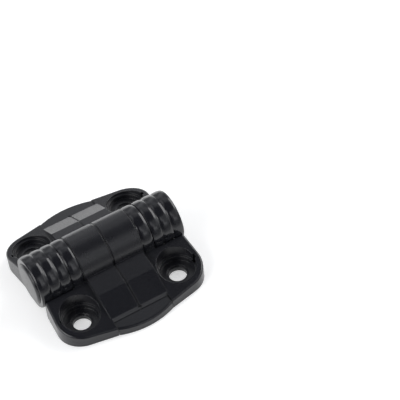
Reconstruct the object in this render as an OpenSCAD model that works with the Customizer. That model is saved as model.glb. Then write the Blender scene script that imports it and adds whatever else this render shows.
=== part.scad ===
// Detent hinge: two moulded leaves on a notched shaft, with a sprung follower that holds set angles.
// X runs along the barrel, -Y is the detent leaf, +Y is the knuckle leaf and +Z is the front face.
// Z = 0 is the mounting face and the origin lies under the middle of the barrel.

/* [Fixing holes] */
// Distance between the two holes of one leaf, along the barrel
hole_pitch = 38.1; // [38:0.1:41]
// Distance between the holes of one leaf and the holes of the other
leaf_pitch = 37; // [36.8:0.1:40]
// Diameter of the screw holes
hole_d = 6.35; // [5:0.05:6.8]
// Diameter of the shallow ring around each hole
ring_d = 7.6; // [7:0.1:9]
// Depth of that ring
ring_depth = 0.5; // [0.2:0.1:0.8]
// Diameter of the recess for the screw head, at its mouth
recess_d = 13.9; // [13.4:0.1:14.2]
// Width of the ledge inside the recess
ledge_w = 0.8; // [0.4:0.1:1]
// Height of that ledge above the recess floor
ledge_h = 1.9; // [1:0.1:2.5]
// Thickness under the screw head
floor_t = 2.1; // [1.6:0.1:2.6]
// Width of the small vent slot beside each recess
vent_w = 1.2; // [0.8:0.1:1.4]

/* [Leaves] */
// Width of the rim around each recess
rim_w = 2.25; // [2.1:0.05:2.8]
// Slope of the outer edge, away from the middle, in degrees
flank_angle = 11.6; // [9:0.2:13]
// Taper of the side edges towards the barrel, in degrees
side_angle = 5; // [3:0.5:6]
// Height of the front face at the holes
ear_z = 6.7; // [6.5:0.1:7]
// Slope of the front face around the holes, in degrees
ear_slope = 15.6; // [14.6:0.2:16.4]
// Height over which the front edge is rounded
edge_h = 0.6; // [0.4:0.1:1.4]
// Width over which the front edge is rounded
edge_w = 0.8; // [0.5:0.1:1.8]
// Wall thickness of the hollow leaf
shell_wall = 1.3; // [1.1:0.1:1.5]
// Width of the bar that joins the two arms of the hollow leaf
cross_w = 2.6; // [2:0.1:3]

/* [Raised panel] */
// Width of the raised panel in the middle of a leaf
panel_w = 22; // [21.8:0.1:22.6]
// Height of the crease between the barrel and the panel, above the axis
crease_h = 0.3; // [0.1:0.1:0.5]
// Height of the bend in the panel
bend_z = 9.2; // [9:0.1:9.6]
// Distance of that bend from the line of the holes, towards the barrel
bend_in = 1; // [0.5:0.1:1.5]
// Height of the outer end of the panel
panel_end_z = 4.7; // [4.6:0.1:5]
// Distance of that end from the line of the holes, away from the barrel
panel_end_out = 7; // [6.9:0.1:7.4]
// Height of the bevelled step at that end
step_h = 1; // [0.8:0.1:1.1]
// Slope of the outer strip beyond the step, in degrees
strip_slope = 8.5; // [7:0.5:9]
// Width of the moulded groove down the middle
groove_w = 0.7; // [0.4:0.1:1]
// Depth of the moulded grooves
groove_depth = 0.4; // [0.2:0.05:0.5]

/* [Barrel] */
// Diameter of the barrel over its ribs
barrel_d = 19.2; // [18.9:0.1:19.4]
// Distance of each end of the barrel inside the sides of the leaves
barrel_inset = 0.15; // [0:0.05:1]
// Height of the barrel above the mounting face
barrel_lift = 1; // [0.8:0.1:1.3]
// Length of the smooth middle of the barrel
smooth_l = 23.6; // [22.8:0.1:24]
// Width of the rib at each end of the middle part of the barrel
middle_rib_w = 4.3; // [4:0.1:4.6]
// Depth of the valleys between the ribs
valley_depth = 0.42; // [0.2:0.02:0.5]
// Radius of the rounded ends of the barrel
end_round = 0.4; // [0.2:0.1:0.8]
// Radial gap between the barrel and the leaf behind it
turn_gap = 0.35; // [0.25:0.05:0.5]
// Axial gap between the parts of the barrel
joint_gap = 0.25; // [0.15:0.05:0.4]

/* [Shaft] */
// Diameter of the shaft
shaft_d = 8; // [7.7:0.1:8.2]
// Distance across the two flats at the ends of the shaft
flats_w = 6.6; // [6.5:0.1:7]
// Gap between each end of the shaft and the stem of the plug
shaft_end_gap = 0.4; // [0.2:0.1:2]
// Radial running clearance of the shaft
shaft_fit = 0.05; // [0.02:0.01:0.08]
// Angle between detents, in degrees
detent_step = 85; // [80:1:85]
// Clearance of the follower over the shaft between detents
crest_gap = 0.12; // [0.08:0.01:0.2]

/* [Follower] */
// Diameter of the nose bar
nose_d = 5; // [4.8:0.1:5.2]
// Gap at each end of the nose bar
nose_gap = 0.45; // [0.3:0.05:0.8]
// Direction of the nose from the axis, below horizontal, in degrees
nose_angle = 60; // [58:1:62]
// Slope of the slide, in degrees
slide_slope = 15; // [14:0.5:15.5]
// Travel of the follower into a notch
travel = 1.1; // [0.8:0.1:1.2]
// Distance of each side of the plate inside the sides of the retainer
plate_inset = 0.2; // [0.1:0.05:0.5]
// Thickness of the plate, measured upright
plate_t = 4.9; // [4.7:0.1:5]
// Height of the underside of the plate at its rear edge
plate_z = 0.3; // [0.2:0.05:0.4]
// Distance of the rear edge of the plate from the line of the holes
plate_rear_out = 1.9; // [1.8:0.1:2]
// Width of the three ribs under the plate
rib_w = 3.4; // [2.8:0.1:3.6]
// Running clearance around the follower
slide_gap = 0.25; // [0.2:0.05:0.35]
// Thickness of the wall beside the nose
cheek_t = 2.3; // [2:0.1:2.5]

/* [Springs] */
// Outer diameter of the springs
spring_d = 4; // [3.6:0.1:4]
// Thickness of the spring wire
wire_d = 0.6; // [0.4:0.05:0.7]
// Number of coils
coils = 7; // [6:0.5:8]
// Distance of the middle of each spring from the side of the plate
spring_inset = 3; // [2.9:0.1:3.5]
// Depth of the spring channels in the follower
channel_l = 5; // [4:0.1:6]
// Gap between the rear edge of the follower and the retainer
chamber_l = 3.3; // [3.1:0.1:3.4]

/* [Retainer] */
// Width of the retainer
retainer_w = 21; // [20.8:0.1:21.2]
// Gap around the retainer
retainer_gap = 0.2; // [0.1:0.05:0.3]
// Height of the tongue that reaches under the leaf
tongue_h = 3; // [2.8:0.1:3.1]
// Reach of the snap tabs at its sides
tab_w = 1.5; // [1:0.1:1.8]

/* [End plugs] */
// Width of the rim of the barrel around an end plug
rim_t = 2; // [1.7:0.05:2.3]
// Depth of the seat of a plug in the end of the barrel
seat_depth = 1.6; // [1.2:0.1:2]
// Gap around the head of a plug
plug_gap = 0.15; // [0.1:0.05:0.3]
// Height of the face of a plug above the end of the barrel
plug_proud = 0.75; // [0.4:0.05:1]
// Width of the rounded edge of a plug
crown_w = 1.2; // [0.6:0.1:1.6]
// Height of that rounded edge
crown_h = 0.9; // [0.5:0.1:1.2]
// Height of the dome on a plug
dome_h = 0.1; // [0.05:0.05:0.4]
// Length of the stem of a plug
stem_l = 1.4; // [1:0.1:1.6]

/* [Hidden] */

mould_black = [0.13, 0.13, 0.14];
gloss_grey = [0.30, 0.31, 0.33];
bright_steel = [0.80, 0.80, 0.78];
far = 60;
eps = 0.01;

// Places along the barrel
hole_x = hole_pitch / 2;
corner_r = recess_d / 2 + rim_w;
barrel_x = hole_x + corner_r - barrel_inset;
hood_x = smooth_l / 2 + middle_rib_w;
knuckle_x = hood_x + joint_gap;
knuckle_ribs = 3;
rib_pitch = (barrel_x - hood_x) / knuckle_ribs;
seat_x = barrel_x - seat_depth;
shaft_x = seat_x - stem_l - shaft_end_gap;
panel_x = panel_w / 2;
strip_x = retainer_w / 2 + retainer_gap / 2;
bay_x = hood_x - cheek_t;
nose_x = bay_x - nose_gap;
plate_x = retainer_w / 2 - plate_inset;

// Barrel and shaft
barrel_r = barrel_d / 2;
axis_z = barrel_r + barrel_lift;
clear_r = barrel_r + turn_gap;
shaft_r = shaft_d / 2;
bore_r = shaft_r + shaft_fit;

// Leaf outline and raised panel, as distances from the barrel axis
hole_y = leaf_pitch / 2;
bow = strip_x * tan(flank_angle);
bow_r = (strip_x * strip_x + bow * bow) / (2 * bow);
apex_y = hole_y + corner_r / cos(flank_angle) + hole_x * tan(flank_angle);
crease_y = sqrt(barrel_r * barrel_r - crease_h * crease_h);
bend_y = hole_y - bend_in;
panel_end_y = hole_y + panel_end_out;
step_y = panel_end_y + step_h;
strip_z = panel_end_z - step_h;
leaf_back_y = 8.45;
arm_y = 2.8;

// Follower, in the plane across the barrel
rise = tan(slide_slope);
nose_r = nose_d / 2;
nose_reach = shaft_r + crest_gap + nose_r;
nose_y = nose_reach * cos(nose_angle);
nose_z = axis_z - nose_reach * sin(nose_angle);
travel_y = travel * cos(slide_slope);
travel_z = travel * sin(slide_slope);
rear_y = hole_y + plate_rear_out;
front_y = nose_y + 1.48 * nose_r;
root_y = nose_y + 0.6 * nose_r;
rib_r = rib_w / 2;
rib_x = plate_x - 2.8;
neck_y = front_y + nose_r;
neck_l = 4;
rib_z = nose_z - nose_r + 0.06 + rib_r - 1.7;

// Springs and retainer
spring_x = plate_x - spring_inset;
spring_r = spring_d / 2;
channel_r = spring_r + 0.15;
spring_z = plate_z + 0.55 + channel_r / cos(slide_slope);
wall_y = rear_y + chamber_l;
bay_end_y = wall_y + 0.3;
spring_y = wall_y - 0.4;
spring_l = (spring_y - rear_y + channel_l) / cos(slide_slope) - 0.15;
tab_l = 2;
tab_h = 1.4;

// Hollow of the knuckle leaf
cross_y = clear_r - 3.85;
hollow_y = cross_y + cross_w;
pocket_x = [knuckle_x + 2.8, 23.8];
pocket_end_y = 11.5;
pocket_h = 4.6;
cup_foot_r = recess_d / 2 - ledge_w - 0.25;
cup_r = recess_d / 2 + 1.15;
cup_h = 4.6;

function ear_height(y) = ear_z + tan(ear_slope) * (hole_y - y);
function strip_height(y) = strip_z - tan(strip_slope) * (y - step_y);
function panel_height(y) = bend_z + (axis_z + crease_h - bend_z) * (bend_y - y) / (bend_y - crease_y);
function under_height(y) = plate_z + rise * (rear_y - y);

// Place of valley number k along the barrel, counted from the smooth middle
function valley_x(k) = k == 0 ? smooth_l / 2 : hood_x + (k - 1) * rib_pitch;

// Radius of the crowned rib between valleys k and k + 1, at place x, rounded off at the end of the barrel
function crown_r(k, x) =
    let (s = (2 * x - valley_x(k) - valley_x(k + 1)) / (valley_x(k + 1) - valley_x(k)),
         e = max(0, x - barrel_x + end_round),
         end_r = barrel_r - end_round + sqrt(max(0, end_round * end_round - e * e)))
    min(barrel_r - valley_depth * pow(abs(s), 3.2), end_r);

// Radius and place along the barrel of points over that rib, cut off below x0
function rib_points(k, x0, n = 10) =
    [for (i = [k < 2 ? 0 : 1:n])
        let (share = (1 - cos(180 * i / n)) / 2,
             x = max(x0, valley_x(k) + share * (valley_x(k + 1) - valley_x(k))))
        [crown_r(k, x), x]];

// Rounded corner of a leaf, from the side edge to the outer edge, drawn in by inset
function corner_points(inset, n = 20) = [for (i = [0:n])
    let (a = side_angle - i * (90 - flank_angle + side_angle) / n, r = corner_r - inset)
    [hole_x + r * cos(a), -hole_y + r * sin(a)]];

// Convex outline of a leaf from y0 outward, whose outer edges meet in a point, drawn in by inset
function rim_points(y0, inset) = let (r = corner_r - inset, c = corner_points(inset), n = len(c) - 1,
        x0 = hole_x + r * cos(side_angle) - (hole_y - r * sin(side_angle) - y0) * tan(side_angle))
    concat([[x0, -y0]], c,
           [[0, -apex_y + inset / cos(flank_angle)]],
           [for (i = [n:-1:0]) [-c[i][0], c[i][1]]], [[-x0, -y0]]);

// Bowed strip in the middle of the outer edge, from y0 outward, drawn in by inset
function bow_points(half_w, y0, inset, n = 12) =
    let (mid = apex_y - bow_r, r = bow_r - inset)
    concat([[-half_w, -y0], [half_w, -y0]],
           [for (i = [0:n]) let (x = half_w * (1 - 2 * i / n)) [x, -mid - sqrt(r * r - x * x)]]);

// How the front edge is rounded: share of edge_w drawn in, share of edge_h below the face
EDGE = [[0, 1], [0.08, 0.72], [0.22, 0.46], [0.46, 0.2], [0.74, 0.05], [1, 0]];

// Solid through a row of rings of points, each ring clockwise as seen from the last one
module loft(rings) {
    n = len(rings[0]);
    last = len(rings) - 1;
    sides = [for (i = [0:last - 1]) for (j = [0:n - 1]) [i * n + j, i * n + (j + 1) % n]];
    polyhedron([for (ring = rings) each ring],
        concat([[for (j = [n - 1:-1:0]) j], [for (j = [0:n - 1]) last * n + j]],
               [for (e = sides) [e[0], e[1], e[1] + n]], [for (e = sides) [e[0], e[1] + n, e[0] + n]]));
}

// Solid of a section given as distance from the axis and height, between two places along the barrel
module section(points, x0, x1) {
    translate([x0, 0, 0]) rotate([90, 0, 90]) linear_extrude(x1 - x0)
        polygon([for (p = points) [-p[0], p[1]]]);
}

// The same solid on both sides of the middle
module both_sides() {
    children();
    mirror([1, 0, 0]) children();
}

module on_axis() {
    translate([0, 0, axis_z]) rotate([0, 90, 0]) children();
}

// Room in which the barrel turns
module clearance(x0, x1) {
    section([for (a = [0:5:355]) [clear_r * cos(a), axis_z + clear_r * sin(a)]], x0, x1);
}

module at_holes() {
    for (s = [-1, 1]) translate([s * hole_x, -hole_y, 0]) children();
}

// Rounded ear part of a leaf from y0 outward, with the middle of the outer edge left open
module ears(y0) {
    difference() {
        loft(concat([[for (p = rim_points(y0, 0)) [p[0], p[1], 0]]],
                    [for (k = EDGE) [for (p = rim_points(y0, k[0] * edge_w))
                        [p[0], p[1], ear_height(-p[1]) - k[1] * edge_h]]]));
        translate([-strip_x, -far, -1]) cube([2 * strip_x, far - step_y, far]);
    }
}

// Wedge that fills the middle of the outer edge
module outer_strip(half_w, y0, z0) {
    loft(concat([[for (p = bow_points(half_w, y0, 0)) [p[0], p[1], z0]]],
                [for (k = EDGE) [for (p = bow_points(half_w, y0, k[0] * edge_w))
                    [p[0], p[1], strip_height(-p[1]) - k[1] * edge_h]]]));
}

module raised_panel() {
    section([[leaf_back_y, 1], [leaf_back_y, panel_height(leaf_back_y)], [bend_y, bend_z],
             [panel_end_y, panel_end_z], [step_y, strip_z], [step_y, 1]],
            -panel_x, panel_x);
}

// Groove down the middle of the panel, with a small notch in the bevelled step
module panel_groove() {
    section([[crease_y - 0.6, panel_height(crease_y - 0.6) - groove_depth], [bend_y, bend_z - groove_depth],
             [panel_end_y, panel_end_z - groove_depth], [step_y + 0.4, strip_z - groove_depth - 0.4],
             [step_y + 0.4, far], [crease_y - 0.6, far]],
            -groove_w / 2, groove_w / 2);
    section([[panel_end_y - 0.1, panel_end_z - 0.7], [step_y + 0.2, panel_end_z - 0.7],
             [step_y + 0.2, far], [panel_end_y - 0.1, far]],
            -0.6, 0.6);
}

// Screw hole with its ring, recess and vent slot
module fixing_cut() {
    translate([0, 0, -1]) cylinder(d = hole_d, h = far, $fn = 64);
    translate([0, 0, floor_t - ring_depth]) cylinder(d = ring_d, h = far, $fn = 64);
    translate([0, 0, floor_t]) cylinder(d = recess_d - 2 * ledge_w, h = far, $fn = 96);
    translate([0, 0, floor_t + ledge_h]) cylinder(d = recess_d, h = far, $fn = 96);
}

module vent_cuts() {
    for (s = [-1, 1])
        translate([s * (hole_x + recess_d / 2 + 0.15) - vent_w / 2, -hole_y - 0.8, -1])
            cube([vent_w, 1.6, far]);
}

// Shaft opening in a knuckle, with two flats
module socket(r, w, x0, x1) {
    intersection() {
        translate([x0, 0, 0]) on_axis() cylinder(r = r, h = x1 - x0, $fn = 96);
        translate([x0 - 1, -far / 2, axis_z - w / 2]) cube([x1 - x0 + 2, far, w]);
    }
}

// Middle of the barrel, with a rib at each end and a groove in the middle
module hood() {
    side = concat([[barrel_r - groove_depth, groove_w / 2 - 0.1], [barrel_r, groove_w / 2 + 0.1],
                   [barrel_r, smooth_l / 2 - 0.3], [barrel_r - valley_depth, smooth_l / 2 - 0.2]],
                  rib_points(0, 0));
    on_axis() rotate_extrude($fn = 120)
        polygon(concat([[0, hood_x]], [for (i = [len(side) - 1:-1:0]) side[i]],
                       [for (p = side) [p[0], -p[1]]], [[0, -hood_x]]));
}

// Outer part of the barrel, on the +X side
module knuckle() {
    on_axis() rotate_extrude($fn = 120)
        polygon(concat([[0, knuckle_x]], [for (k = [1:knuckle_ribs]) each rib_points(k, knuckle_x)],
                       [[0, barrel_x]]));
}

// Room for the follower: the section of its path, wide at the nose and narrower behind it
module bay() {
    gap = slide_gap;
    roof = plate_t + slide_gap + 0.05;
    lip_y = nose_y - travel_y - nose_r - gap - 0.1;
    end_y = nose_y - travel_y;
    intersection() {
        union() {
            section([[bay_end_y, -1], [bay_end_y, under_height(bay_end_y) + roof],
                     [front_y - travel_y - gap, under_height(front_y - travel_y - gap) + roof],
                     [nose_y + 0.77 * nose_r - travel_y - gap, nose_z + 0.64 * nose_r + travel_z],
                     [end_y, nose_z + travel_z], [lip_y, nose_z + travel_z], [lip_y, -1]],
                    -bay_x, bay_x);
            for (k = [0, 0.5, 1])
                translate([-bay_x, -nose_y + k * travel_y, nose_z + k * travel_z]) rotate([0, 90, 0])
                    cylinder(r = nose_r + gap, h = 2 * bay_x, $fn = 72);
        }
        translate([0, 0, -2]) linear_extrude(far) polygon([
            [-bay_x, 1 - lip_y], [-bay_x, -neck_y], [-plate_x - gap, -neck_y - neck_l],
            [-plate_x - gap, -far], [plate_x + gap, -far], [plate_x + gap, -neck_y - neck_l],
            [bay_x, -neck_y], [bay_x, 1 - lip_y]]);
    }
}

// Seat of the retainer under the end of the panel and through the outer edge
module retainer_seat() {
    w = retainer_w / 2 + retainer_gap;
    translate([-w, -step_y, -1]) cube([2 * w, step_y - wall_y + eps, tongue_h + retainer_gap + 1]);
    translate([-w, -far, -1]) cube([2 * w, far - step_y, far]);
    both_sides() translate([w - 1, -wall_y - 0.5 - tab_l - retainer_gap, -1])
        cube([1 + tab_w, tab_l + 2 * retainer_gap, tab_h + retainer_gap + 1]);
}

module detent_leaf() {
    color(mould_black) difference() {
        union() {
            difference() {
                ears(leaf_back_y);
                both_sides() clearance(hood_x, far);
            }
            translate([-hood_x, -crease_y, 0]) cube([2 * hood_x, crease_y - 4, 8]);
            raised_panel();
            hood();
        }
        translate([-far / 2, 0, 0]) on_axis() cylinder(r = bore_r, h = far, $fn = 96);
        bay();
        retainer_seat();
        panel_groove();
        at_holes() fixing_cut();
        vent_cuts();
    }
}

// Inside of the hollow leaf: under the ears, under the panel, and left full around each recess
module shell_hollow() {
    t = shell_wall;
    wall = [[hollow_y, -1], [hollow_y, 2.5], [clear_r + 1.3, 7.6]];
    strip_end = apex_y - t - 1.7;
    difference() {
        union() {
            intersection() {
                translate([0, 0, -1]) linear_extrude(far) polygon(rim_points(0, t));
                difference() {
                    section(concat(wall, [[clear_r + 1.3, ear_height(clear_r + 1.3) - t],
                                          [apex_y, ear_height(apex_y) - t], [apex_y, -1]]),
                            -far, far);
                    translate([-strip_x - t, -far, -2]) cube([2 * (strip_x + t), far - step_y + t, far]);
                }
            }
            section(concat(wall, [[clear_r + 1.3, panel_height(clear_r + 1.3) - t - 0.05],
                                  [bend_y - 0.2, bend_z - t - 0.05], [panel_end_y - 0.5, panel_end_z - t],
                                  [step_y - 0.6, strip_z - t], [strip_end, strip_height(strip_end) - t],
                                  [strip_end, -1]]),
                    -panel_x + t, panel_x - t);
        }
        at_holes() {
            translate([0, 0, -2]) cylinder(r = cup_foot_r, h = 2 + eps, $fn = 96);
            cylinder(r1 = cup_foot_r, r2 = cup_r, h = cup_h, $fn = 96);
            translate([0, 0, cup_h]) cylinder(r = cup_r, h = far, $fn = 96);
        }
        both_sides() {
            translate([knuckle_x, -pocket_end_y, -1]) cube([pocket_x[0] - knuckle_x, far, far]);
            translate([pocket_x[1], -pocket_end_y, -1]) cube([far, far, far]);
        }
    }
    both_sides() translate([pocket_x[0], -pocket_end_y, -1])
        cube([pocket_x[1] - pocket_x[0], pocket_end_y - arm_y - 0.3, pocket_h + 1]);
}

module knuckle_leaf() {
    color(mould_black) mirror([0, 1, 0]) difference() {
        union() {
            difference() {
                union() {
                    ears(arm_y);
                    outer_strip(strip_x + 0.3, step_y - 0.5, 0);
                    raised_panel();
                }
                translate([-knuckle_x, -cross_y, -1]) cube([2 * knuckle_x, far, far]);
                clearance(-knuckle_x, knuckle_x);
            }
            both_sides() knuckle();
        }
        shell_hollow();
        panel_groove();
        both_sides() {
            socket(bore_r, flats_w + 2 * shaft_fit, knuckle_x - 1, barrel_x + 1);
            translate([seat_x, 0, 0]) on_axis() cylinder(r = barrel_r - rim_t, h = 5, $fn = 96);
        }
        at_holes() fixing_cut();
        vent_cuts();
    }
}

// Room that the nose takes up in the shaft when a detent holds it
module notch() {
    translate([0, -(nose_y - travel_y), nose_z + travel_z - axis_z]) rotate([slide_slope, 0, 0]) {
        translate([-bay_x, 0, 0]) rotate([0, 90, 0]) cylinder(r = nose_r + 0.1, h = 2 * bay_x, $fn = 72);
        translate([-bay_x, -far, -nose_r - 0.1]) cube([2 * bay_x, far, nose_d + 0.2]);
    }
}

module detent_shaft() {
    color(bright_steel) difference() {
        union() {
            translate([-hood_x, 0, 0]) on_axis() cylinder(r = shaft_r, h = 2 * hood_x, $fn = 96);
            socket(shaft_r, flats_w, -shaft_x, shaft_x);
        }
        translate([0, 0, axis_z]) for (k = [0:2]) rotate([-k * detent_step, 0, 0]) notch();
    }
}

module follower() {
    color(gloss_grey) difference() {
        union() {
            translate([-nose_x, -nose_y, nose_z]) rotate([0, 90, 0])
                cylinder(r = nose_r, h = 2 * nose_x, $fn = 72);
            section([[rear_y, plate_z], [rear_y, plate_z + plate_t],
                     [front_y, under_height(front_y) + plate_t],
                     [nose_y + 0.75 * nose_r, nose_z + 0.62 * nose_r], [nose_y, nose_z],
                     [root_y, under_height(root_y)]],
                    -plate_x, plate_x);
            intersection() {
                for (x = [-rib_x, 0, rib_x]) translate([x, -nose_y, rib_z]) rotate([90, 0, 0])
                    cylinder(r = rib_r, h = rear_y - nose_y, $fn = 48);
                section([[rear_y, under_height(rear_y) + 1], [rear_y, -1], [nose_y, -1], [nose_y, rib_z],
                         [nose_y, under_height(nose_y) + 1]],
                        -plate_x, plate_x);
            }
        }
        for (s = [-1, 1]) translate([s * spring_x, -rear_y, spring_z]) rotate([slide_slope, 0, 0]) {
            translate([0, -1, 0]) rotate([-90, 0, 0])
                cylinder(r = channel_r, h = 1 + channel_l / cos(slide_slope), $fn = 48);
            translate([-channel_r, -1, 0])
                cube([2 * channel_r, 1 + channel_l / cos(slide_slope), 4]);
        }
    }
}

// Coil spring along +Z, with its end coils closed
module coil_spring(r, w, l, n) {
    seg = 20;
    sides = 8;
    steps = n * seg;
    closed = 1.06 * w;
    open = (l - w - 2 * closed) / (n - 2);
    function lift(t) = w / 2 + (t < 1 ? t * closed
        : t < n - 1 ? closed + (t - 1) * open : closed + (n - 2) * open + (t - n + 1) * closed);
    loft([for (i = [0:steps]) let (a = i * 360 / seg, z = lift(i / seg)) [for (j = [0:sides - 1])
        let (b = j * 360 / sides, q = r - w / 2 + w / 2 * cos(b))
        [q * cos(a), q * sin(a), z + w / 2 * sin(b)]]]);
}

module spring(x) {
    color(bright_steel) translate([x, -spring_y, spring_z - rise * (spring_y - rear_y)])
        rotate([slide_slope - 90, 0, 0]) coil_spring(spring_r, wire_d, spring_l, coils);
}

module spring_left() {
    spring(-spring_x);
}

module spring_right() {
    spring(spring_x);
}

module spring_retainer() {
    base = 0.05;
    w = retainer_w / 2;
    color(mould_black) difference() {
        union() {
            outer_strip(w, step_y + retainer_gap, base);
            translate([-w, -step_y - 1, base]) cube([2 * w, step_y + 1 - wall_y, tongue_h - base]);
            both_sides() translate([w - 1, -wall_y - 0.5 - tab_l, base])
                cube([1 + tab_w, tab_l, tab_h - base]);
        }
        panel_groove();
    }
}

// Disc with a rounded edge, a slight dome and a short stem, on the +X side
module end_plug() {
    r = barrel_r - rim_t - plug_gap;
    face_x = barrel_x + plug_proud;
    face_r = r - crown_w;
    stem_r = flats_w / 2 - 0.1;
    crown = [for (a = [0:15:75]) [face_r + crown_w * cos(a), face_x - crown_h * (1 - sin(a))]];
    dome = [for (i = [0:4]) [face_r * (1 - i / 4), face_x + dome_h * (1 - pow(1 - i / 4, 2))]];
    on_axis() rotate_extrude($fn = 96)
        polygon(concat([[0, seat_x - stem_l], [stem_r, seat_x - stem_l], [stem_r, seat_x + eps],
                        [r, seat_x + eps]], crown, dome));
}

module end_plug_left() {
    color(mould_black) mirror([1, 0, 0]) end_plug();
}

module end_plug_right() {
    color(mould_black) end_plug();
}

detent_leaf();
knuckle_leaf();
detent_shaft();
follower();
spring_left();
spring_right();
spring_retainer();
end_plug_left();
end_plug_right();
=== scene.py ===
"""Looks of the detent hinge: black moulded plastic, open on a white table and seen from one corner."""

import bmesh
import bpy
import numpy as np
from mathutils import Matrix, Vector


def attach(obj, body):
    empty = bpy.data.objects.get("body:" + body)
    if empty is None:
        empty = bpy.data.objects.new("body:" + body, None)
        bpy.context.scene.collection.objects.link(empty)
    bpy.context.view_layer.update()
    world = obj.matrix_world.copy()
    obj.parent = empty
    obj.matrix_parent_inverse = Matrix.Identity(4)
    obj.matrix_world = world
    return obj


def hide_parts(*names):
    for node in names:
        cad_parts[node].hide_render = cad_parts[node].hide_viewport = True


MM = 0.001

# Sizes of the part that the finish and the panel's slope follow, in millimetres
HOLE_PITCH = 38.1
LEAF_PITCH = 37.0
RECESS_WIDTH = 13.9
BARREL_WIDTH = 19.2
BARREL_LIFT = 1.0
SMOOTH_LENGTH = 23.6
STRIP_WIDTH = 21.2
# The panel's end, out from the line of the holes, its height, and how far the slope runs out and down
PANEL_END_OUT = 7.0
PANEL_END_Z = 4.7
STEP = 1.0

# Places that follow from these sizes
HOLE_X = HOLE_PITCH / 2
HOLE_Y = LEAF_PITCH / 2
AXIS_Z = BARREL_WIDTH / 2 + BARREL_LIFT
PANEL_END_Y = HOLE_Y + PANEL_END_OUT

# Height of the cut above the slope, and how far it runs on past the slope's foot, in millimetres
WEDGE_LIFT = 0.05
WEDGE_SPARE = 0.02
# Points nearer than this are one point, in metres
SAME_PLACE = 1e-7

# Where the camera stands, in degrees and millimetres, and its lens
CAMERA_AZIMUTH = 25.8
CAMERA_ELEVATION = 45.95
CAMERA_ROLL = -7.15
CAMERA_DISTANCE = 580.0
# How far it is moved to its right and up, so that the hinge sits low and left of the middle
CAMERA_ASIDE = (33.36, 24.12)
CAMERA_LENS = 147.93
CAMERA_CLIP = (0.05, 20.0)

# How far outside the barrel and the recesses their masks start and are full, in millimetres
BARREL_MARGINS = (0.25, 0.1)
RECESS_MARGINS = (0.15, 0.02)
# Distance to each side of the smooth middle's end over which the mask of the ribs comes in
RIB_MARGIN = 0.1

# Grain of the spark-eroded faces and of drawn steel, and the height of the relief, in millimetres
MOULD_GRAIN = 0.4
STEEL_GRAIN = 0.15
RELIEF = 0.05
# How many sink marks a metre has, and their height as a share of the grain's
SINK_SCALE = 130.0
SINK_SHARE = 0.6
# Detail and roughness of the noise of the grain and of the sink marks
GRAIN_NOISE = (3.0, 0.6)
SINK_NOISE = (2.0, 0.5)
# Share of the grain that the polished ribs and recesses lack
POLISH = 0.93
# Middle of a noise's range
NOISE_MIDDLE = 0.5
# How much the grain darkens and lightens the colour
SHADES = (0.75, 1.3)
# Rounding of the edges, in millimetres: in the screw recesses, on the plugs and elsewhere
RECESS_ROUNDING = 0.4
PLUG_ROUNDING = 0.1
EDGE_ROUNDING = 0.16
ROUNDING_SAMPLES = 6

# Table: half its width and its depth below the mounting face, in metres, its finish and its glow
TABLE_HALF = 6.0
TABLE_DROP = 0.00005
TABLE_WHITE = (0.9, 0.9, 0.9, 1.0)
TABLE_ROUGHNESS = 0.7
TABLE_SHINE = 0.1
TABLE_GLOW = 0.4
# Shade on the table's far front, seen in reflections only: where it starts and is full, and its share
SHADE_AHEAD = (-0.04, -0.1)
SHADE_SHARE = 0.6

# Light tent: its level, its gain towards the front and its tint
TENT_LEVEL = 0.78
FRONT_GAIN = 0.25
TENT_TINT = (0.96, 0.975, 1.0, 1.0)
# Dark openings in the tent: their directions, the cosines between which they fade in, and their level
OPENINGS = ((0.18, -0.14, 0.97), (-0.35, -0.35, 0.87), (-0.3, -0.85, 0.43))
OPENING_COSINES = (0.94, 0.88)
OPENING_LEVEL = 0.04
# Dark gap low in front, where the tent is open: sines of its height and of its reach ahead, and its share
GAP_HEIGHTS = (0.42, 0.2)
GAP_AHEAD = (-0.25, -0.55)
GAP_SHARE = 0.8
# Folds in the tent's cloth: how fine, and the noise's range with the shares of the level that it gives
FOLD_SCALE = 2.6
FOLD_NOISE = (1.0, 0.5)
FOLDS = {"From Min": 0.42, "From Max": 0.58, "To Min": 0.5, "To Max": 1.5}
# Soft boxes beside the table, all in metres and watts
BOX_PLACES = {"left_box": (-0.6, -0.1, 0.45), "right_box": (0.6, 0.1, 0.45)}
BOX_SIZE = (0.6, 0.4)
BOX_POWER = 2.6


def place_camera():
    """Turn the camera about Z, raise it, roll it about its own axis and move it aside in its plane."""
    azimuth, elevation, roll = np.radians([CAMERA_AZIMUTH, CAMERA_ELEVATION, CAMERA_ROLL])
    level = np.cos(elevation)
    back = np.array([-np.sin(azimuth) * level, -np.cos(azimuth) * level, np.sin(elevation)])
    flat_right = np.array([np.cos(azimuth), -np.sin(azimuth), 0.0])
    flat_up = np.cross(back, flat_right)
    right = np.cos(roll) * flat_right + np.sin(roll) * flat_up
    up = -np.sin(roll) * flat_right + np.cos(roll) * flat_up
    place = back * CAMERA_DISTANCE + right * CAMERA_ASIDE[0] + up * CAMERA_ASIDE[1]
    data = bpy.data.cameras.new("camera")
    data.lens = CAMERA_LENS
    data.clip_start, data.clip_end = CAMERA_CLIP
    camera = bpy.data.objects.new("camera", data)
    turn = Matrix(np.column_stack([right, up, back]).tolist()).to_4x4()
    camera.matrix_world = Matrix.Translation(Vector(place * MM)) @ turn
    bpy.context.scene.collection.objects.link(camera)
    bpy.context.scene.camera = camera


def new_material(name):
    """A material with its nodes and its Principled BSDF."""
    material = bpy.data.materials.new(name)
    material.use_nodes = True
    tree = material.node_tree
    return material, tree, tree.nodes["Principled BSDF"]


def new_node(tree, kind, **properties):
    """A new node with these properties."""
    made = tree.nodes.new(kind)
    for key, value in properties.items():
        setattr(made, key, value)
    return made


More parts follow.
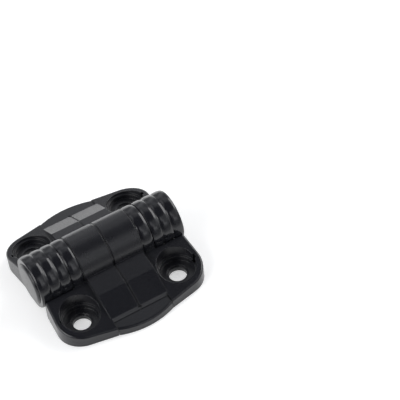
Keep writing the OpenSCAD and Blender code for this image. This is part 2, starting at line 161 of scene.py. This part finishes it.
def calculate(tree, operation, *values):
    """Output of a Math node whose inputs are sockets or plain numbers."""
    made = new_node(tree, "ShaderNodeMath", operation=operation)
    for place, value in enumerate(values):
        if isinstance(value, (int, float)):
            made.inputs[place].default_value = value
        else:
            tree.links.new(value, made.inputs[place])
    return made.outputs[0]


def blend(tree, share, first, second):
    """First where share is 0 and second where it is 1."""
    between = tree.nodes.new("ShaderNodeMapRange")
    tree.links.new(share, between.inputs["Value"])
    tree.links.new(first, between.inputs["To Min"])
    tree.links.new(second, between.inputs["To Max"])
    return between.outputs["Result"]


def blend_shaders(tree, share, first, second):
    """The first shader where share is 0 and the second where it is 1."""
    mixed = tree.nodes.new("ShaderNodeMixShader")
    tree.links.new(share, mixed.inputs["Fac"])
    tree.links.new(first, mixed.inputs[1])
    tree.links.new(second, mixed.inputs[2])
    return mixed.outputs[0]


def distance(tree, first, second):
    """Length of the flat vector with these two parts: the root of the sum of their squares."""
    first_square = calculate(tree, "MULTIPLY", first, first)
    second_square = calculate(tree, "MULTIPLY", second, second)
    return calculate(tree, "SQRT", calculate(tree, "ADD", first_square, second_square))


def soft_step(tree, value, start, end):
    """0 at start and 1 at end, smoothly; start may be the larger of the two."""
    step = new_node(tree, "ShaderNodeMapRange", interpolation_type="SMOOTHSTEP")
    tree.links.new(value, step.inputs["Value"])
    step.inputs["From Min"].default_value = min(start, end)
    step.inputs["From Max"].default_value = max(start, end)
    step.inputs["To Min"].default_value = float(start > end)
    step.inputs["To Max"].default_value = float(end > start)
    return step.outputs["Result"]


def noise(tree, place, scale, detail, roughness):
    """Value of a noise texture; its scale is a socket or a plain number."""
    made = new_node(tree, "ShaderNodeTexNoise", noise_dimensions="3D")
    tree.links.new(place, made.inputs["Vector"])
    made.inputs["Detail"].default_value = detail
    made.inputs["Roughness"].default_value = roughness
    if isinstance(scale, float):
        made.inputs["Scale"].default_value = scale
    else:
        tree.links.new(scale, made.inputs["Scale"])
    return made.outputs["Fac"]


def moulded_surface_sockets(group):
    """Inputs with their usual values, and outputs, of the moulded surface."""
    usual = {"Grain Size": 0.0002, "Hood Roughness": 0.3, "Face Roughness": 0.25,
             "Rib Roughness": 0.15, "Roughness Spread": 0.1}
    for name, value in usual.items():
        socket = group.interface.new_socket(name, in_out="INPUT", socket_type="NodeSocketFloat")
        socket.default_value = value
    group.interface.new_socket("Tint", in_out="INPUT", socket_type="NodeSocketColor")
    group.interface.new_socket("Color", in_out="OUTPUT", socket_type="NodeSocketColor")
    for name in ("Roughness", "Height", "Recess"):
        group.interface.new_socket(name, in_out="OUTPUT", socket_type="NodeSocketFloat")


def surface_masks(group, place):
    """Masks of the barrel, of its ribs and of the screw recesses, from the place on the part.

    The barrel lies within its radius of the axis, and its ribs lie past its smooth middle.
    A recess lies within its radius of the nearest hole.
    """
    apart = group.nodes.new("ShaderNodeSeparateXYZ")
    group.links.new(place, apart.inputs[0])
    across, along, up = (apart.outputs[axis] for axis in "XYZ")
    aside = calculate(group, "ABSOLUTE", across)
    ahead = calculate(group, "ABSOLUTE", along)

    from_axis = distance(group, along, calculate(group, "SUBTRACT", up, AXIS_Z * MM))
    barrel_edge = [(BARREL_WIDTH / 2 + margin) * MM for margin in BARREL_MARGINS]
    barrel = soft_step(group, from_axis, *barrel_edge)
    rib_edge = [(SMOOTH_LENGTH / 2 + margin) * MM for margin in (-RIB_MARGIN, RIB_MARGIN)]
    rib = calculate(group, "MULTIPLY", barrel, soft_step(group, aside, *rib_edge))

    hole_aside = calculate(group, "SUBTRACT", aside, HOLE_X * MM)
    hole_ahead = calculate(group, "SUBTRACT", ahead, HOLE_Y * MM)
    recess_edge = [(RECESS_WIDTH / 2 + margin) * MM for margin in RECESS_MARGINS]
    recess = soft_step(group, distance(group, hole_aside, hole_ahead), *recess_edge)
    return barrel, rib, recess


def moulded_surface_group():
    """Finish of the mould: a spark-eroded hood, finer faces, polished ribs, and faint sink marks.

    The height is the grain, less its polished share, plus the sink marks.
    The roughness is that of the face, hood or rib, plus a spread that follows the sink marks.
    """
    group = bpy.data.node_groups.new("moulded_surface", "ShaderNodeTree")
    moulded_surface_sockets(group)
    given = group.nodes.new("NodeGroupInput").outputs
    out = group.nodes.new("NodeGroupOutput").inputs
    place = group.nodes.new("ShaderNodeTexCoord").outputs["Object"]
    barrel, rib, recess = surface_masks(group, place)
    group.links.new(recess, out["Recess"])

    grains_a_metre = calculate(group, "DIVIDE", 1.0, given["Grain Size"])
    grain = noise(group, place, grains_a_metre, *GRAIN_NOISE)
    sink = noise(group, place, SINK_SCALE, *SINK_NOISE)
    polished = calculate(group, "MULTIPLY", calculate(group, "MAXIMUM", rib, recess), POLISH)
    grain_height = calculate(group, "MULTIPLY", grain, calculate(group, "SUBTRACT", 1.0, polished))
    sink_height = calculate(group, "MULTIPLY", sink, SINK_SHARE)
    group.links.new(calculate(group, "ADD", grain_height, sink_height), out["Height"])

    level = blend(group, barrel, given["Face Roughness"], given["Hood Roughness"])
    level = blend(group, recess, level, given["Hood Roughness"])
    level = blend(group, rib, level, given["Rib Roughness"])
    off_middle = calculate(group, "SUBTRACT", sink, NOISE_MIDDLE)
    spread = calculate(group, "MULTIPLY", off_middle, given["Roughness Spread"])
    group.links.new(calculate(group, "ADD", level, spread), out["Roughness"])

    shade = group.nodes.new("ShaderNodeMapRange")
    group.links.new(grain, shade.inputs["Value"])
    shade.inputs["To Min"].default_value, shade.inputs["To Max"].default_value = SHADES
    colour = new_node(group, "ShaderNodeVectorMath", operation="SCALE")
    group.links.new(given["Tint"], colour.inputs[0])
    group.links.new(shade.outputs["Result"], colour.inputs["Scale"])
    group.links.new(colour.outputs[0], out["Color"])
    return group


def surface_of(tree, shader, tint, roughness, spread, grain):
    """The shared finish in a material, with its own values; roughness is for the hood, faces and ribs.

    It feeds the shader's colour and roughness, and the relief is left to the caller.
    """
    surface = tree.nodes.new("ShaderNodeGroup")
    surface.node_tree = moulded_surface
    surface.inputs["Tint"].default_value = (*tint, 1.0)
    for part, value in zip(("Hood", "Face", "Rib"), roughness):
        surface.inputs[part + " Roughness"].default_value = value
    surface.inputs["Roughness Spread"].default_value = spread
    surface.inputs["Grain Size"].default_value = grain * MM
    tree.links.new(surface.outputs["Color"], shader.inputs["Base Color"])
    tree.links.new(surface.outputs["Roughness"], shader.inputs["Roughness"])
    return surface


def moulded_plastic(name, tint, roughness, spread, relief, rounding=EDGE_ROUNDING):
    """Moulded plastic with the grain of the mould and rounded edges, rounder in the screw recesses."""
    material, tree, shader = new_material(name)
    surface = surface_of(tree, shader, tint, roughness, spread, MOULD_GRAIN)
    rounded = new_node(tree, "ShaderNodeBevel", samples=ROUNDING_SAMPLES)
    more = (RECESS_ROUNDING - rounding) * MM
    radius = calculate(tree, "MULTIPLY_ADD", surface.outputs["Recess"], more, rounding * MM)
    tree.links.new(radius, rounded.inputs["Radius"])
    bump = tree.nodes.new("ShaderNodeBump")
    bump.inputs["Strength"].default_value = relief
    bump.inputs["Distance"].default_value = RELIEF * MM
    tree.links.new(surface.outputs["Height"], bump.inputs["Height"])
    tree.links.new(rounded.outputs["Normal"], bump.inputs["Normal"])
    tree.links.new(bump.outputs["Normal"], shader.inputs["Normal"])
    return material


def leaf_plastic():
    """Black of the leaves and the retainer, roughest on the hood and smoothest on the ribs."""
    return moulded_plastic("black_acetal", tint=(0.0105, 0.0109, 0.014), roughness=(0.28, 0.2, 0.15),
                           spread=0.12, relief=0.9)


def plug_plastic():
    """Black of the end plugs, nearly smooth."""
    return moulded_plastic("plug_acetal", tint=(0.011, 0.0115, 0.014), roughness=(0.22, 0.22, 0.22),
                           spread=0.1, relief=0.2, rounding=PLUG_ROUNDING)


def follower_plastic():
    """Dark grey of the follower, nearly smooth."""
    return moulded_plastic("follower_plastic", tint=(0.045, 0.047, 0.052), roughness=(0.25, 0.25, 0.25),
                           spread=0.1, relief=0.1)


def bright_steel(name, grey, roughness):
    """Bright steel whose grey and roughness vary a little over its face."""
    material, tree, shader = new_material(name)
    surface_of(tree, shader, tint=grey, roughness=(roughness,) * 3, spread=0.15, grain=STEEL_GRAIN)
    shader.inputs["Metallic"].default_value = 1.0
    return material


def merge_points(mesh, outwards=False):
    """Merge points that lie together, and turn the faces outwards where asked."""
    work = bmesh.new()
    work.from_mesh(mesh)
    bmesh.ops.remove_doubles(work, verts=work.verts, dist=SAME_PLACE)
    if outwards:
        bmesh.ops.recalc_face_normals(work, faces=work.faces)
    work.to_mesh(mesh)
    work.free()


def slope_wedge(side):
    """Prism along X over the slope at a panel's end, on the side of -Y or +Y.

    Its section has four corners: the panel's end, the slope's foot one step out and down from there, and
    the points over these two, one step above the panel's end.
    """
    end_y, end_z = PANEL_END_Y, PANEL_END_Z + WEDGE_LIFT
    foot_y, foot_z = end_y + STEP + WEDGE_SPARE, end_z - STEP - WEDGE_SPARE
    top_z = end_z + STEP
    section = np.array([[end_y, end_z], [foot_y, foot_z], [foot_y, top_z], [end_y, top_z]])
    count = len(section)
    across = np.repeat([-STRIP_WIDTH / 2, STRIP_WIDTH / 2], count)
    points = np.column_stack([across, np.tile(section * [side, 1.0], (2, 1))]) * MM
    ring = np.arange(count)
    walls = np.column_stack([ring, np.roll(ring, -1), np.roll(ring, -1) + count, ring + count])
    faces = [*walls.tolist(), ring[::-1].tolist(), (ring + count).tolist()]
    mesh = bpy.data.meshes.new("slope_wedge")
    mesh.from_pydata(points.tolist(), [], faces)
    merge_points(mesh, outwards=True)
    return bpy.data.objects.new("slope_wedge", mesh)


def corner_keys(mesh):
    """Whole numbers that name each corner of each face: its place, and the sum of its face's places."""
    points = np.empty(len(mesh.vertices) * 3)
    mesh.vertices.foreach_get("co", points)
    index = np.empty(len(mesh.loops), int)
    mesh.loops.foreach_get("vertex_index", index)
    totals = np.empty(len(mesh.polygons), int)
    mesh.polygons.foreach_get("loop_total", totals)
    corners = np.rint(points.reshape(-1, 3)[index] / SAME_PLACE).astype(int)
    sums = np.add.reduceat(corners, np.cumsum(totals) - totals)
    return np.hstack([corners, np.repeat(sums, totals, axis=0)]), totals


def carry_normals(source, cut):
    """Give each face that the cut left whole its old corner normals, and every other its flat normal."""
    old_keys, _ = corner_keys(source)
    new_keys, totals = corner_keys(cut)
    names = np.unique(np.vstack([old_keys, new_keys]), axis=0, return_inverse=True)[1].ravel()
    old_corner = np.full(names.max() + 1, -1)
    old_corner[names[:len(old_keys)]] = np.arange(len(old_keys))
    match = old_corner[names[len(old_keys):]]
    old_normals = np.empty(len(old_keys) * 3)
    source.corner_normals.foreach_get("vector", old_normals)
    flat = np.empty(len(totals) * 3)
    cut.polygons.foreach_get("normal", flat)
    normals = np.repeat(flat.reshape(-1, 3), totals, axis=0)
    whole = match >= 0
    normals[whole] = old_normals.reshape(-1, 3)[match[whole]]
    cut.shade_smooth()
    cut.normals_split_custom_set(normals.tolist())


def less_wedge(piece, wedge):
    """Mesh of the piece with the wedge cut away."""
    cut = piece.modifiers.new("cut", "BOOLEAN")
    cut.operation = "DIFFERENCE"
    cut.solver = "EXACT"
    cut.object = wedge
    bpy.context.view_layer.update()
    return bpy.data.meshes.new_from_object(piece.evaluated_get(bpy.context.evaluated_depsgraph_get()))


def slope_panel_end(leaf, body, side, material):
    """The leaf again, less the wedge beyond its panel, so that the panel ends in a 45 degree slope."""
    leaf_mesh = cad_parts[leaf].data
    mesh = leaf_mesh.copy()
    merge_points(mesh)
    piece = bpy.data.objects.new(leaf + "_sloped", mesh)
    wedge = slope_wedge(side)
    for made in (piece, wedge):
        bpy.context.scene.collection.objects.link(made)
    cut = less_wedge(piece, wedge)
    bpy.data.objects.remove(wedge)
    piece.modifiers.clear()
    carry_normals(leaf_mesh, cut)
    cut.materials.clear()
    cut.materials.append(material)
    piece.data = cut
    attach(piece, body)
    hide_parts(leaf)


def dress(name, material):
    """Give a solid its material, in its slots where it has any."""
    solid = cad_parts[name]
    for slot in solid.material_slots:
        slot.material = material
    if not solid.material_slots:
        solid.data.materials.append(material)


def white_table():
    """White that glows where it is seen, dim in reflections of its far front, and clear from below."""
    material, tree, shader = new_material("white_table")
    shader.inputs["Base Color"].default_value = TABLE_WHITE
    shader.inputs["Roughness"].default_value = TABLE_ROUGHNESS
    shader.inputs["Specular IOR Level"].default_value = TABLE_SHINE
    rays = tree.nodes.new("ShaderNodeLightPath").outputs
    seen = calculate(tree, "MAXIMUM", rays["Is Camera Ray"], rays["Is Glossy Ray"])
    seen = calculate(tree, "MAXIMUM", seen, rays["Is Transmission Ray"])
    glow = tree.nodes.new("ShaderNodeEmission")
    tree.links.new(calculate(tree, "MULTIPLY", seen, TABLE_GLOW), glow.inputs["Strength"])
    lit = tree.nodes.new("ShaderNodeAddShader")
    tree.links.new(shader.outputs[0], lit.inputs[0])
    tree.links.new(glow.outputs[0], lit.inputs[1])

    here = tree.nodes.new("ShaderNodeNewGeometry").outputs
    apart = tree.nodes.new("ShaderNodeSeparateXYZ")
    tree.links.new(here["Position"], apart.inputs[0])
    far_front = soft_step(tree, apart.outputs["Y"], *SHADE_AHEAD)
    mirrored = calculate(tree, "MULTIPLY", far_front, rays["Is Glossy Ray"])
    share = calculate(tree, "MULTIPLY", mirrored, SHADE_SHARE)
    unlit = tree.nodes.new("ShaderNodeEmission")
    unlit.inputs["Strength"].default_value = 0.0
    shaded = blend_shaders(tree, share, lit.outputs[0], unlit.outputs[0])

    clear = tree.nodes.new("ShaderNodeBsdfTransparent")
    from_below = calculate(tree, "MULTIPLY", here["Backfacing"], rays["Is Camera Ray"])
    surface = blend_shaders(tree, from_below, shaded, clear.outputs[0])
    tree.links.new(surface, tree.nodes["Material Output"].inputs["Surface"])
    return material


def lay_table():
    """Flat square table around the hinge, just under its mounting face."""
    signs = ((-1, -1), (1, -1), (1, 1), (-1, 1))
    corners = [(x * TABLE_HALF, y * TABLE_HALF, -TABLE_DROP) for x, y in signs]
    mesh = bpy.data.meshes.new("table")
    mesh.from_pydata(corners, [], [(0, 1, 2, 3)])
    mesh.materials.append(white_table())
    table = bpy.data.objects.new("table", mesh)
    bpy.context.scene.collection.objects.link(table)


def light_tent():
    """White surroundings, as inside a tent of cloth, from the direction in which they are seen.

    The level rises evenly towards the front, times the folds of the cloth, less the gap low in front,
    times a step to 0 in each dark opening, plus the openings' own level.
    """
    world = bpy.data.worlds.new("studio")
    bpy.context.scene.world = world
    world.use_nodes = True
    tree = world.node_tree
    towards = tree.nodes.new("ShaderNodeTexCoord").outputs["Generated"]
    apart = tree.nodes.new("ShaderNodeSeparateXYZ")
    tree.links.new(towards, apart.inputs[0])

    level = calculate(tree, "MULTIPLY_ADD", apart.outputs["Y"], -FRONT_GAIN, TENT_LEVEL)
    folds = new_node(tree, "ShaderNodeMapRange", interpolation_type="SMOOTHSTEP")
    tree.links.new(noise(tree, towards, FOLD_SCALE, *FOLD_NOISE), folds.inputs["Value"])
    for socket, value in FOLDS.items():
        folds.inputs[socket].default_value = value
    level = calculate(tree, "MULTIPLY", level, folds.outputs["Result"])
    low = soft_step(tree, apart.outputs["Z"], *GAP_HEIGHTS)
    ahead = soft_step(tree, apart.outputs["Y"], *GAP_AHEAD)
    gap = calculate(tree, "MULTIPLY", calculate(tree, "MULTIPLY", low, ahead), -GAP_SHARE)
    level = calculate(tree, "MULTIPLY_ADD", level, gap, level)

    cloth = 1.0
    for direction in OPENINGS:
        to_opening = new_node(tree, "ShaderNodeVectorMath", operation="DOT_PRODUCT")
        tree.links.new(towards, to_opening.inputs[0])
        to_opening.inputs[1].default_value = Vector(direction).normalized()
        outside = soft_step(tree, to_opening.outputs["Value"], *OPENING_COSINES)
        cloth = calculate(tree, "MULTIPLY", cloth, outside)
    background = tree.nodes["Background"].inputs
    background["Color"].default_value = TENT_TINT
    tree.links.new(calculate(tree, "MULTIPLY_ADD", level, cloth, OPENING_LEVEL), background["Strength"])


def soft_box(name, place):
    """A rectangular lamp at place, turned towards the hinge."""
    data = bpy.data.lights.new(name, "AREA")
    data.shape = "RECTANGLE"
    data.size, data.size_y = BOX_SIZE
    data.energy = BOX_POWER
    lamp = bpy.data.objects.new(name, data)
    turn = (-Vector(place)).to_track_quat("-Z", "Y").to_matrix().to_4x4()
    lamp.matrix_world = Matrix.Translation(Vector(place)) @ turn
    bpy.context.scene.collection.objects.link(lamp)


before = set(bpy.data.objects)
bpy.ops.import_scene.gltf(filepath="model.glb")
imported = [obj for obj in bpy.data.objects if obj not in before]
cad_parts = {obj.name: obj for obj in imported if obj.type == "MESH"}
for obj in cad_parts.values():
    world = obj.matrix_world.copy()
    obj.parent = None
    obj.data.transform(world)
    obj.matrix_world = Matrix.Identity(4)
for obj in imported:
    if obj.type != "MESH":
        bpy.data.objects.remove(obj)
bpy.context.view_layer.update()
bpy.context.scene.view_settings.view_transform = "Standard"
place_camera()
light_tent()
lay_table()
for box_name, box_place in BOX_PLACES.items():
    soft_box(box_name, box_place)

moulded_surface = moulded_surface_group()
leaf_black = leaf_plastic()
slope_panel_end("detent_leaf", "detent_side", -1.0, leaf_black)
slope_panel_end("knuckle_leaf", "knuckle_side", 1.0, leaf_black)
dress("spring_retainer", leaf_black)
plug_black = plug_plastic()
spring_steel = bright_steel("spring_steel", (0.75, 0.75, 0.74), 0.22)
for end in ("left", "right"):
    dress("end_plug_" + end, plug_black)
    dress("spring_" + end, spring_steel)
dress("follower", follower_plastic())
dress("detent_shaft", bright_steel("shaft_steel", (0.6, 0.6, 0.6), 0.3))
